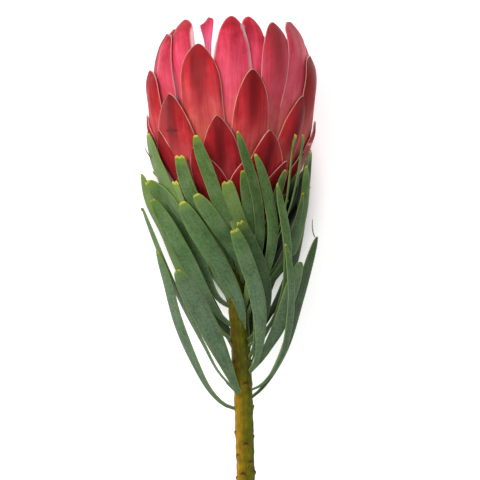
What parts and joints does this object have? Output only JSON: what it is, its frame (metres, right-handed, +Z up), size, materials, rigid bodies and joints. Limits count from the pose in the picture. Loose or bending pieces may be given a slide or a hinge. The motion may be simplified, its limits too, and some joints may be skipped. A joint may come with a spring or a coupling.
{
  "type": "protea flower",
  "caption": "Cut protea flower lying on its side: rows of red and pink bracts round a floret bundle, on a woody stem with strap-shaped leaves",
  "frame": {"origin": "the flat spot under the flower head on which the flower lies", "axes": "+Z up away from the surface, +Y along the stem towards the tip of the flower head, +X to the right seen from above with the head at the top"},
  "size_m": [0.0886, 0.2388, 0.0864],
  "materials": {
    "bracts": "satin",
    "florets": "matte",
    "foliage": "satin"
  },
  "bodies": {
    "root": {"flower_head": "bracts", "florets": "florets", "leafy_stem": "foliage"}
  },
  "joints": []
}
